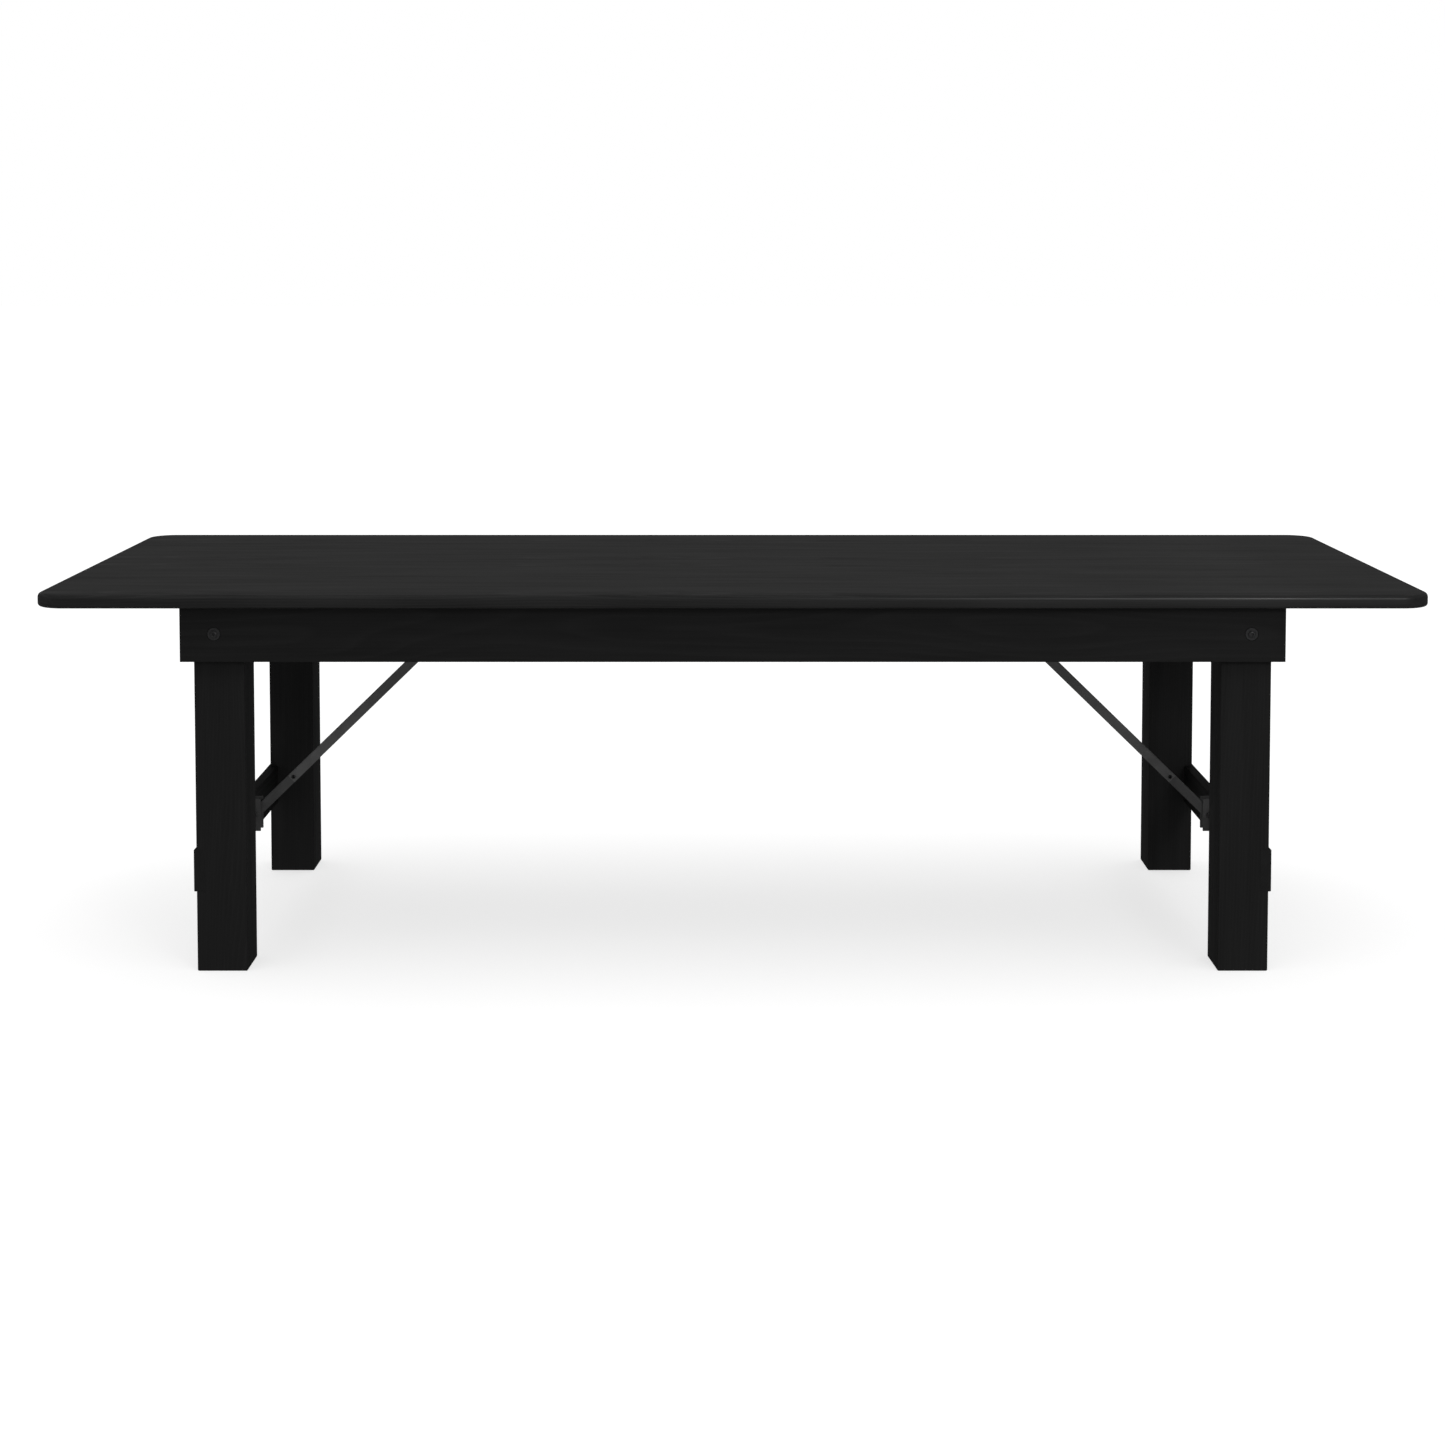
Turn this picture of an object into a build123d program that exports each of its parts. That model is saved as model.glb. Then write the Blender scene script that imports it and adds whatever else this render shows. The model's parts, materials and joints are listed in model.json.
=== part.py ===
from build123d import *
import os
from math import asin, cos, degrees, radians, sin, sqrt, tan

# Folding farm table: a glued board top on a fixed skirt of four aprons. At each end a pair of
# square legs with a low stretcher turns on two bolts and folds up inside the skirt. A steel
# brace runs from each stretcher to a shoe that slides between two guide angles under the top.
#
# Millimetres, +Z up. The origin is on the floor under the middle of the top, +X along its
# length. Every moving piece is modelled on the +X side and mirrored for the -X side.

# ---- overall ------------------------------------------------------------------------------
top_length = 2743.0
top_width = 1016.0
table_height = 765.0

# ---- top ----------------------------------------------------------------------------------
top_thickness = 27.0
corner_radius = 60.0          # plan radius of the four corners
top_edge_round = 9.0          # upper arris
under_edge_round = 6.0        # lower arris
board_width = 287.0
first_seam = -243.0           # Y of the glue line nearest the front edge
narrowest_board = 40.0

# ---- skirt --------------------------------------------------------------------------------
apron_height = 112.0
apron_thickness = 22.0
apron_inset = 43.0            # from the top's long edge to the apron's face
apron_round = 1.5
stop_gap = 0.5                # between an upright leg and the end apron that stops it
dowel_radius = 4.0
dowel_length = 40.0
dowel_depth = 14.0            # how far a dowel goes into the long apron
dowel_slack = 0.05
dowel_heights = (28.0, 84.0)  # above the apron's lower edge
batten_width = 90.0
batten_thickness = 30.0

# ---- legs ---------------------------------------------------------------------------------
leg_size = 100.0
leg_inset = 303.3             # from the top's end to the leg's outer face
leg_side_gap = 2.0            # between the long apron and the leg
leg_round = 2.5
pivot_from_outer = 45.0       # from the leg's outer face to the pivot bolt
fold_gap = 1.5                # between a folded leg and the underside of the top

# ---- pivot bolts --------------------------------------------------------------------------
bolt_radius = 5.0
running_gap = 0.05            # radial, wherever one piece turns on another
fixed_gap = 0.02              # radial, wherever a pin is held
bush_wall = 2.0
washer_radius = 12.5
washer_thickness = 1.6
seat_gap = 0.2                # between a washer and a face that moves past it
counterbore_slack = 0.8
button_radius = 7.5
button_height = 4.5
button_dome = 2.7             # radius of the head's rounded rim
socket_across = 6.0
socket_depth = 3.0
nut_height = 9.0
bolt_past_nut = 1.0           # how far the bolt stands out of its nut
nut_across_flats = 17.0

# ---- stretcher ----------------------------------------------------------------------------
stretcher_height = 84.5
stretcher_thickness = 22.0
stretcher_bottom = 161.0
stretcher_proud = 5.0         # how far it stands out of the legs' outer faces
stretcher_round = 1.5

# ---- brace --------------------------------------------------------------------------------
brace_angle = 44.2            # degrees above level when the table stands
link_length = 119.0           # pivot to pivot
brace_height = 20.0
bar_width = 24.0
bar_wall = 2.0
bar_tail = 7.0                # past the knee rivet
bar_fork = 40.0               # length without a web at the knee
bar_bend = 1.5
link_side_gap = 0.3           # between the link and each wall of the bar
knee_rivet_radius = 3.0
knee_head_radius = 4.4
knee_head_height = 2.2
knee_head_dome = 1.8
link_fold_angle = 7.0         # degrees above level when the leg is folded
bracket_width = 32.0
bracket_plate = 2.5
bracket_height = 70.0
bracket_reach = 29.2          # from the stretcher's face
bracket_nose = 1.5
bracket_bend = 2.0            # outer radius of the bends at the stretcher
link_pivot_reach = 15.2       # from the stretcher's face
link_pivot_height = 214.5
link_bolt_radius = 4.0
link_nut_height = 6.8
link_bolt_past_nut = 1.5
link_head_height = 5.3
link_across_flats = 13.0
spacer_wall = 3.0

# ---- guide and shoe -----------------------------------------------------------------------
shoe_pin_drop = 18.0          # below the underside of the top
shoe_pin_radius = 4.0
shoe_length = 44.0
shoe_width = 34.0
shoe_bottom = 12.0            # below the pin
shoe_slot_gap = 0.4           # between the shoe and each side of the bar
shoe_roof_gap = 1.0
shoe_round = 1.5
guide_gap = 0.5               # between the shoe and each guide, and above the shoe
guide_plate = 2.5
guide_flange = 25.0
guide_depth = 32.0
guide_past_shoe = 22.0
guide_to_batten = 5.0

# ---- screws: length, shank radius, head radius -----------------------------------------
batten_screw = (46.0, 2.25, 4.5)
guide_screw = (20.0, 2.0, 4.0)
stretcher_screw = (60.0, 2.75, 5.5)
bracket_screw = (18.0, 2.25, 4.2)
guide_screw_count = 4
guide_screw_margin = 30.0
batten_screw_spread = 44.0
stretcher_screw_spread = 42.0
bracket_screw_spread = 50.0

# ---- worked out ---------------------------------------------------------------------------
underside = table_height - top_thickness
apron_bottom = underside - apron_height
apron_face = top_width / 2 - apron_inset
apron_back = apron_face - apron_thickness
leg_face = apron_back - leg_side_gap
leg_back = leg_face - leg_size
leg_outer = top_length / 2 - leg_inset
leg_inner = leg_outer - leg_size
end_apron_inner = leg_outer + stop_gap
apron_end = end_apron_inner + apron_thickness

pivot_x = leg_outer - pivot_from_outer
pivot_z = underside - (leg_size - pivot_from_outer) - fold_gap
leg_end_round = pivot_from_outer - stop_gap
leg_top = pivot_z + leg_end_round
bush_radius = bolt_radius + running_gap + bush_wall
inner_washer_face = leg_back - seat_gap
nut_face = inner_washer_face - washer_thickness
nut_end = nut_face - nut_height

stretcher_outer = leg_outer + stretcher_proud
stretcher_inner = stretcher_outer - stretcher_thickness
stretcher_middle = stretcher_bottom + stretcher_height / 2

link_pivot = (stretcher_inner - link_pivot_reach, link_pivot_height)
shoe_z = underside - shoe_pin_drop
brace_rise = shoe_z - link_pivot_height
brace_run = brace_rise / tan(radians(brace_angle))
brace_length = brace_rise / sin(radians(brace_angle))
bar_length = brace_length - link_length
knee = (link_pivot[0] - link_length * cos(radians(brace_angle)),
        link_pivot[1] + link_length * sin(radians(brace_angle)))
shoe_x = link_pivot[0] - brace_run
link_width = bar_width - 2 * bar_wall - 2 * link_side_gap
end_radius = brace_height / 2
fork_inside = bracket_width - 2 * bracket_plate
spacer_length = (fork_inside - link_width) / 2 - 2 * seat_gap

guide_inside = shoe_width / 2 + guide_gap
guide_outer_end = shoe_x + shoe_length / 2 + guide_past_shoe
guide_inner_end = batten_width / 2 + guide_to_batten

# ---- folding: each angle is a turn about Y, positive on the +X side ----------------------
leg_fold = 90.0
folded_link_pivot = (pivot_x - (pivot_z - link_pivot[1]), pivot_z - (link_pivot[0] - pivot_x))
folded_knee_z = folded_link_pivot[1] + link_length * sin(radians(link_fold_angle))
folded_bar_angle = degrees(asin((shoe_z - folded_knee_z) / bar_length))
link_turn = (180 - brace_angle - link_fold_angle) - leg_fold
bar_turn = (folded_bar_angle - brace_angle) - (link_turn + leg_fold)
shoe_turn = brace_angle - folded_bar_angle


# ---- small helpers ------------------------------------------------------------------------
def block(x, y, z):
    """A box from its low and high value on each axis."""
    size = (x[1] - x[0], y[1] - y[0], z[1] - z[0])
    middle = ((x[0] + x[1]) / 2, (y[0] + y[1]) / 2, (z[0] + z[1]) / 2)
    return Pos(*middle) * Box(*size)


def rod(radius, y, x=0.0, z=0.0):
    """A cylinder along Y between two values."""
    middle = (x, (y[0] + y[1]) / 2, z)
    return Pos(*middle) * Rot(90, 0, 0) * Cylinder(radius, abs(y[1] - y[0]))


def hexagon(across_flats, y, x=0.0, z=0.0):
    """A hexagonal prism along Y between two values."""
    outline = RegularPolygon(across_flats / sqrt(3), 6)
    return Pos(x, max(y), z) * Rot(90, 0, 0) * extrude(outline, abs(y[1] - y[0]))


def long_edges(solid, axis):
    return solid.edges().filter_by(axis)


def group(solids):
    return Compound(children=list(solids))


def mirrored(solid):
    """The same piece on the -X side."""
    return mirror(solid, about=Plane.YZ)


def other_end(solid):
    """The same piece on the +Y side."""
    return mirror(solid, about=Plane.XZ)


def screw(size):
    """A countersunk wood screw: its head is flush at Z = 0 and its point is down."""
    length, radius, head = size
    point = 2 * radius
    profile = Polyline((0, 0), (head, 0), (radius, radius - head), (radius, point - length),
                       (0, -length), close=True)
    return revolve(Plane.XZ * make_face(profile), Axis.Z)


def button_bolt():
    """Front pivot bolt: a low round head with a hexagon socket, and a plain shank."""
    face = -apron_face
    head = rod(button_radius, (face - button_height, face), pivot_x, pivot_z)
    rim = head.faces().sort_by(Axis.Y)[0].edges()
    head = fillet(rim, button_dome)
    socket = hexagon(socket_across, (face - button_height, face - button_height + socket_depth),
                     pivot_x, pivot_z)
    shank = rod(bolt_radius, (face, -nut_end + bolt_past_nut), pivot_x, pivot_z)
    return head + shank - socket


# ---- top ----------------------------------------------------------------------------------
def seams():
    """Y of every glue line."""
    lines = []
    line = first_seam
    while line < top_width / 2 - narrowest_board:
        lines.append(line)
        line += board_width
    return lines


def board_limits():
    lines = [-top_width / 2] + seams() + [top_width / 2]
    return list(zip(lines[:-1], lines[1:]))


def whole_top():
    slab = block((-top_length / 2, top_length / 2), (-top_width / 2, top_width / 2),
                 (underside, table_height))
    slab = fillet(long_edges(slab, Axis.Z), corner_radius)
    slab = fillet(slab.faces().sort_by(Axis.Z)[-1].edges(), top_edge_round)
    return fillet(slab.faces().sort_by(Axis.Z)[0].edges(), under_edge_round)


def top_boards(screws):
    slab = whole_top()
    boards = []
    for low, high in board_limits():
        board = slab & block((-top_length, top_length), (low, high), (0, 2 * table_height))
        for one in screws:
            board = board - one
        boards.append(board)
    return boards


# ---- skirt --------------------------------------------------------------------------------
def corner_dowels():
    """Two dowels in each corner, from the end apron into the long apron."""
    dowels = []
    for side in (-1, 1):
        for height in dowel_heights:
            z = apron_bottom + height
            y = (-apron_back - dowel_depth, -apron_back - dowel_depth + dowel_length)
            one = rod(dowel_radius, y, side * (end_apron_inner + apron_thickness / 2), z)
            dowels += [one, other_end(one)]
    return dowels


def dowel_holes():
    holes = []
    for side in (-1, 1):
        for height in dowel_heights:
            z = apron_bottom + height
            y = (-apron_back - dowel_depth - 1, -apron_back - dowel_depth + dowel_length + 1)
            one = rod(dowel_radius + dowel_slack, y, side * (end_apron_inner + apron_thickness / 2), z)
            holes += [one, other_end(one)]
    return holes


def long_apron():
    """The front apron, with a hole and a shallow seat for each pivot bolt."""
    board = block((-apron_end, apron_end), (-apron_face, -apron_back), (apron_bottom, underside))
    lower = long_edges(board, Axis.X).group_by(Axis.Z)[0]
    board = fillet(lower + long_edges(board, Axis.Z).group_by(Axis.Y)[0], apron_round)
    for side in (-1, 1):
        x = side * pivot_x
        board -= rod(bolt_radius + fixed_gap, (-apron_face - 1, -apron_back + 1), x, pivot_z)
        seat = washer_radius + counterbore_slack
        board -= rod(seat, (-apron_face - 1, -apron_face + washer_thickness), x, pivot_z)
    for hole in dowel_holes():
        board -= hole
    return board


def end_apron():
    board = block((end_apron_inner, apron_end), (-apron_back, apron_back), (apron_bottom, underside))
    board = fillet(long_edges(board, Axis.Y).group_by(Axis.Z)[0], apron_round)
    for hole in dowel_holes():
        board -= hole
    return board


def batten_screws():
    screws = []
    for low, high in board_limits():
        y = (max(low, -apron_back) + min(high, apron_back)) / 2
        for side in (-1, 1):
            place = Pos(side * batten_screw_spread / 2, y, underside - batten_thickness)
            screws.append(place * Rot(180, 0, 0) * screw(batten_screw))
    return screws


def centre_batten(screws):
    board = block((-batten_width / 2, batten_width / 2), (-apron_back, apron_back),
                  (underside - batten_thickness, underside))
    board = fillet(long_edges(board, Axis.Y).group_by(Axis.Z)[0], apron_round)
    for one in screws:
        board -= one
    return board


# ---- guides under the top -----------------------------------------------------------------
def guide_screws():
    """Screws of the front guide on the +X side."""
    first = guide_inner_end + guide_screw_margin
    last = guide_outer_end - guide_screw_margin
    step = (last - first) / (guide_screw_count - 1)
    y = -guide_inside - (guide_plate + guide_flange) / 2
    screws = []
    for i in range(guide_screw_count):
        place = Pos(first + i * step, y, underside - guide_plate)
        screws.append(place * Rot(180, 0, 0) * screw(guide_screw))
    return screws


def guide_angle(screws):
    """The front guide on the +X side: one flange under the top, the other beside the shoe."""
    x = (guide_inner_end, guide_outer_end)
    upright = block(x, (-guide_inside - guide_plate, -guide_inside), (underside - guide_depth, underside))
    flange = block(x, (-guide_inside - guide_flange, -guide_inside), (underside - guide_plate, underside))
    angle = upright + flange
    for one in screws:
        angle -= one
    return angle


# ---- legs ---------------------------------------------------------------------------------
def stretcher_screws():
    """Screws of the front leg on the +X side, through the stretcher into the leg."""
    y = -(leg_face + leg_back) / 2
    screws = []
    for side in (-1, 1):
        z = stretcher_middle + side * stretcher_screw_spread / 2
        screws.append(Pos(stretcher_outer, y, z) * Rot(0, 90, 0) * screw(stretcher_screw))
    return screws


def front_leg(screws):
    leg = block((leg_inner, leg_outer), (-leg_face, -leg_back), (0, leg_top))
    upper = long_edges(leg, Axis.Y).group_by(Axis.Z)[-1]
    leg = fillet(upper, leg_end_round)
    leg = fillet(long_edges(leg, Axis.Z), leg_round)
    leg -= block((leg_outer - stretcher_thickness + stretcher_proud, leg_outer + 1),
                 (-leg_face - 1, -leg_back + 1),
                 (stretcher_bottom, stretcher_bottom + stretcher_height))
    leg -= rod(bush_radius + fixed_gap, (-leg_face - 1, -leg_back + 1), pivot_x, pivot_z)
    for one in screws:
        leg -= one
    return leg


def leg_bush():
    tube = rod(bush_radius, (-leg_face, -leg_back), pivot_x, pivot_z)
    return tube - rod(bolt_radius + running_gap, (-leg_face - 1, -leg_back + 1), pivot_x, pivot_z)


def stretcher(screws):
    board = block((stretcher_inner, stretcher_outer), (-leg_face, leg_face),
                  (stretcher_bottom, stretcher_bottom + stretcher_height))
    board = fillet(long_edges(board, Axis.Y).group_by(Axis.X)[-1], stretcher_round)
    for one in screws:
        board -= one
    return board


# ---- pivot hardware ------------------------------------------------------------------------
def washer(near):
    ring = rod(washer_radius, (near, near + washer_thickness), pivot_x, pivot_z)
    return ring - rod(bolt_radius + fixed_gap, (near - 1, near + washer_thickness + 1), pivot_x, pivot_z)


def pivot_washers():
    """In the apron's seat, between apron and leg, and under the nut."""
    between = (-apron_back - leg_face) / 2 - washer_thickness / 2
    return [washer(-apron_face), washer(between), washer(-inner_washer_face)]


def pivot_nut():
    nut = hexagon(nut_across_flats, (-nut_face, -nut_end), pivot_x, pivot_z)
    return nut - rod(bolt_radius + fixed_gap, (-nut_face - 1, -nut_end + 1), pivot_x, pivot_z)


# ---- bracket ------------------------------------------------------------------------------
def bracket_screws():
    screws = []
    for side in (-1, 1):
        z = link_pivot_height + side * bracket_screw_spread / 2
        place = Pos(stretcher_inner - bracket_plate, 0, z)
        screws.append(place * Rot(0, -90, 0) * screw(bracket_screw))
    return screws


def brace_bracket(screws):
    """A U of steel plate on the stretcher's inner face, with the link between its cheeks."""
    z = (link_pivot_height - bracket_height / 2, link_pivot_height + bracket_height / 2)
    half = bracket_width / 2
    shell = block((stretcher_inner - bracket_reach, stretcher_inner), (-half, half), z)
    nose = long_edges(shell, Axis.Y).group_by(Axis.X)[0]
    shell = fillet(nose, bracket_nose)
    shell = fillet(long_edges(shell, Axis.Z).group_by(Axis.X)[-1], bracket_bend)
    inside = (-half + bracket_plate, half - bracket_plate)
    shell -= block((0, stretcher_inner - bracket_plate), inside, (z[0] - 1, z[1] + 1))
    shell -= rod(link_bolt_radius + fixed_gap, (-half - 1, half + 1), *link_pivot)
    for one in screws:
        shell -= one
    return shell


def link_bolt():
    half = bracket_width / 2
    head = hexagon(link_across_flats, (-half - link_head_height, -half), *link_pivot)
    return head + rod(link_bolt_radius, (-half, half + link_nut_height + link_bolt_past_nut), *link_pivot)


def link_nut():
    half = bracket_width / 2
    nut = hexagon(link_across_flats, (half, half + link_nut_height), *link_pivot)
    return nut - rod(link_bolt_radius + fixed_gap, (half - 1, half + link_nut_height + 1), *link_pivot)


def link_spacer():
    far = -fork_inside / 2 + seat_gap
    y = (far, far + spacer_length)
    ring = rod(link_bolt_radius + spacer_wall, y, *link_pivot)
    return ring - rod(link_bolt_radius + fixed_gap, (y[0] - 1, y[1] + 1), *link_pivot)


# ---- brace: link and bar lie along their own x, open side down ------------------------------
def along_brace(start):
    slope = radians(brace_angle)
    return Plane(origin=(start[0], 0, start[1]), x_dir=(-cos(slope), 0, sin(slope)),
                 z_dir=(sin(slope), 0, cos(slope)))


def channel(x, width, wall, rounded):
    """A channel with its web up. The ends named in rounded are round about a pin there."""
    half = brace_height / 2
    strip = block(x, (-width / 2, width / 2), (-half, half))
    strip = fillet(long_edges(strip, Axis.X).group_by(Axis.Z)[-1], bar_bend)
    strip -= block((x[0] - 1, x[1] + 1), (-width / 2 + wall, width / 2 - wall), (-half - 1, half - wall))
    keep = block((x[0] + end_radius * (x[0] in rounded), x[1] - end_radius * (x[1] in rounded)),
                 (-width, width), (-half, half))
    for end, centre in ((x[0], x[0] + end_radius), (x[1], x[1] - end_radius)):
        if end in rounded:
            keep += rod(end_radius, (-width, width), centre, 0)
    return strip & keep


def lower_link():
    x = (-end_radius, link_length + end_radius)
    link = channel(x, link_width, bar_wall, x)
    link -= rod(link_bolt_radius + running_gap, (-bar_width, bar_width), 0, 0)
    link -= rod(knee_rivet_radius + running_gap, (-bar_width, bar_width), link_length, 0)
    return along_brace(link_pivot) * link


def brace_bar():
    x = (-bar_tail, bar_length + end_radius)
    bar = channel(x, bar_width, bar_wall, x[1:])
    inside = (-bar_width / 2 + bar_wall, bar_width / 2 - bar_wall)
    bar -= block((-bar_tail - 1, bar_fork), inside, (0, brace_height))
    bar -= rod(knee_rivet_radius + fixed_gap, (-bar_width, bar_width), 0, 0)
    bar -= rod(shoe_pin_radius + running_gap, (-bar_width, bar_width), bar_length, 0)
    return along_brace(knee) * bar


def knee_rivet():
    half = bar_width / 2
    rivet = rod(knee_rivet_radius, (-half, half), *knee)
    for side in (-1, 1):
        head = rod(knee_head_radius, (side * half, side * (half + knee_head_height)), *knee)
        rim = head.faces().sort_by(Axis.Y)[-1 if side > 0 else 0].edges()
        rivet += fillet(rim, knee_head_dome)
    return rivet


def slide_shoe():
    """A moulded saddle over the bar's upper end."""
    x = (shoe_x - shoe_length / 2, shoe_x + shoe_length / 2)
    half = shoe_width / 2
    saddle = block(x, (-half, half), (shoe_z - shoe_bottom, underside - guide_gap))
    saddle = fillet(long_edges(saddle, Axis.Z), shoe_round)
    slot = bar_width / 2 + shoe_slot_gap
    saddle -= block((x[0] - 1, x[1] + 1), (-slot, slot), (0, shoe_z + end_radius + shoe_roof_gap))
    return saddle - rod(shoe_pin_radius + fixed_gap, (-half - 1, half + 1), shoe_x, shoe_z)


def shoe_pin():
    half = shoe_width / 2 - guide_gap
    return rod(shoe_pin_radius, (-half, half), shoe_x, shoe_z)


# ---- all pieces ---------------------------------------------------------------------------
def build():
    pieces = {}
    batten_fixings = batten_screws()
    guide_fixings = guide_screws()
    guide_set = guide_fixings + [other_end(one) for one in guide_fixings]
    top_fixings = batten_fixings + guide_set + [mirrored(one) for one in guide_set]

    for number, board in enumerate(top_boards(top_fixings), start=1):
        pieces[f"top_board_{number}"] = board
    pieces["apron_front"] = long_apron()
    pieces["apron_back"] = other_end(pieces["apron_front"])
    pieces["corner_dowels"] = group(corner_dowels())
    pieces["centre_batten"] = centre_batten(batten_fixings)
    pieces["batten_screws"] = group(batten_fixings)

    leg_fixings = stretcher_screws()
    leg_fixings_all = leg_fixings + [other_end(one) for one in leg_fixings]
    bracket_fixings = bracket_screws()
    guide = guide_angle(guide_fixings)
    bolt = button_bolt()
    nut = pivot_nut()
    washers = pivot_washers()
    leg = front_leg(leg_fixings)
    bush = leg_bush()
    spacer = link_spacer()

    right_side = {
        "apron_end": end_apron(),
        "guide_front": guide,
        "guide_back": other_end(guide),
        "guide_screws": group(guide_set),
        "pivot_bolts": group([bolt, other_end(bolt)]),
        "pivot_washers": group(washers + [other_end(one) for one in washers]),
        "pivot_nuts": group([nut, other_end(nut)]),
        "leg_front": leg,
        "leg_back": other_end(leg),
        "leg_bushes": group([bush, other_end(bush)]),
        "stretcher": stretcher(leg_fixings_all + bracket_fixings),
        "stretcher_screws": group(leg_fixings_all),
        "brace_bracket": brace_bracket(bracket_fixings),
        "bracket_screws": group(bracket_fixings),
        "link_bolt": link_bolt(),
        "link_nut": link_nut(),
        "link_spacers": group([spacer, other_end(spacer)]),
        "lower_link": lower_link(),
        "brace_bar": brace_bar(),
        "knee_rivet": knee_rivet(),
        "slide_shoe": slide_shoe(),
        "shoe_pin": shoe_pin(),
    }
    for name, piece in right_side.items():
        pieces[f"{name}_right"] = piece
        pieces[f"{name}_left"] = mirrored(piece)
    return pieces


os.makedirs("parts", exist_ok=True)
for name, piece in build().items():
    export_step(piece, f"parts/{name}.step")
print(f"fold: leg {leg_fold:.2f}, link {link_turn:.3f}, bar {bar_turn:.3f}, shoe {shoe_turn:.3f} degrees")
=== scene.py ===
import itertools
import json
import math

import bmesh
import bpy
from mathutils import Euler, Matrix, Vector

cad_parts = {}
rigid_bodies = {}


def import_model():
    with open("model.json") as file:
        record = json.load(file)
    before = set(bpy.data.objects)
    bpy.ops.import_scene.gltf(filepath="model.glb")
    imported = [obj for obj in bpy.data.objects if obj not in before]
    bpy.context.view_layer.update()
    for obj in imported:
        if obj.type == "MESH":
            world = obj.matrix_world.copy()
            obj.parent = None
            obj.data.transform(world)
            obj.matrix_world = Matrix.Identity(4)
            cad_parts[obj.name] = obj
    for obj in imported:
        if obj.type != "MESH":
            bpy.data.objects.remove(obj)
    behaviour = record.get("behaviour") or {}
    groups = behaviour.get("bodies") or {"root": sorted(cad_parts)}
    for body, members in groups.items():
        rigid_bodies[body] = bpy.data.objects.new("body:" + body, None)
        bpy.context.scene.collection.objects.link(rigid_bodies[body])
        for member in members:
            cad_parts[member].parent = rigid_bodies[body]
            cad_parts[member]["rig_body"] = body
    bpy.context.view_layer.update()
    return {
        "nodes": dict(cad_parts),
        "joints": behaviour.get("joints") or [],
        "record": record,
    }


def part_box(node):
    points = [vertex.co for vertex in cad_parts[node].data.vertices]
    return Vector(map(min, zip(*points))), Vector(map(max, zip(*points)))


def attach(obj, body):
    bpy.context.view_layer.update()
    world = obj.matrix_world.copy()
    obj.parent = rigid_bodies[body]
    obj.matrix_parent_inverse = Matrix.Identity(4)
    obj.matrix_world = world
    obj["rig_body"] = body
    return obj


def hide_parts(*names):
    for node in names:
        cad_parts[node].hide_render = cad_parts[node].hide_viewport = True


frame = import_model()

# A long farm table that folds: black stained pine, with steel braces that fold under its top.
# Places come from the frame. What the frame doesn't give is named here, in metres.

MM = 0.001
TINY = 0.01 * MM                  # nearer than this is the same plane
WELD = 0.002 * MM                 # nearer than this is the same point
NEAR = 1.0 * MM                   # an edge this near to a side belongs to it
PAST = 1.0 * MM                   # how far a cutting shape runs past what it cuts
PARALLEL = 0.9999                 # the least cosine of two directions that count as one
X, Y, Z = 0, 1, 2
slot_of = {part["node"]: part["material_slot"] for part in frame["record"]["subparts"]}
joint_at = {joint["name"]: Vector(joint["pos_m"]) for joint in frame["joints"]}


# ---- shapes: each helper makes or changes a bmesh that stands in the table's own frame --------
def block(low, high):
    """A box between two corners."""
    bm = bmesh.new()
    low, high = Vector(low), Vector(high)
    bmesh.ops.create_cube(bm, size=1.0)
    bmesh.ops.scale(bm, vec=high - low, verts=bm.verts)
    bmesh.ops.translate(bm, vec=(low + high) / 2, verts=bm.verts)
    return bm


def set_at(point, direction):
    """The placing that puts the origin at a point, with +Z along a direction."""
    turn = Vector(direction).to_track_quat("Z", "Y").to_matrix().to_4x4()
    return Matrix.Translation(Vector(point)) @ turn


def rod(radius, start, end, sides=48):
    """A closed cylinder between two points, or a hexagon bar where it has six sides."""
    start, end = Vector(start), Vector(end)
    bm = bmesh.new()
    bmesh.ops.create_cone(bm, cap_ends=True, segments=sides, radius1=radius, radius2=radius,
                          depth=(end - start).length)
    bmesh.ops.transform(bm, matrix=set_at((start + end) / 2, end - start), verts=bm.verts)
    return bm


def turned(profile, ring=False, sides=40):
    """A lathe-turned solid about Z. The profile runs down from axis to axis, or round a ring."""
    bm = bmesh.new()
    verts = [bm.verts.new((radius, 0, height)) for radius, height in profile]
    ends = zip(verts, verts[1:] + verts[:1]) if ring else zip(verts[:-1], verts[1:])
    edges = [bm.edges.new(pair) for pair in ends]
    bmesh.ops.spin(bm, geom=verts + edges, cent=(0, 0, 0), axis=(0, 0, 1), angle=math.tau,
                   steps=sides, use_merge=True)
    bmesh.ops.remove_doubles(bm, verts=bm.verts, dist=WELD)
    bmesh.ops.recalc_face_normals(bm, faces=bm.faces)
    return bm


def edges_along(bm, axis, test=lambda middle: True):
    """Straight edges parallel to an axis whose middle passes a test."""
    found = []
    for edge in bm.edges:
        run = (edge.verts[1].co - edge.verts[0].co).normalized()
        if abs(run[axis]) > PARALLEL and test((edge.verts[0].co + edge.verts[1].co) / 2):
            found.append(edge)
    return found


def rim_at(bm, axis, value):
    """Edges that lie in one plane across an axis."""
    return [edge for edge in bm.edges if all(abs(v.co[axis] - value) < TINY for v in edge.verts)]


def rounded(bm, edges, radius, steps):
    """A shape with the given edges rounded, or chamfered where there is one step."""
    bmesh.ops.bevel(bm, geom=edges, offset=radius, offset_type="OFFSET", segments=steps, profile=0.5,
                    affect="EDGES", material=-1, clamp_overlap=True)
    return bm


def joined(shapes):
    """One bmesh of several separate ones."""
    bm = bmesh.new()
    for shape in shapes:
        mesh = bpy.data.meshes.new("part")
        shape.to_mesh(mesh)
        bm.from_mesh(mesh)
        bpy.data.meshes.remove(mesh)
    return bm


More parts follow.
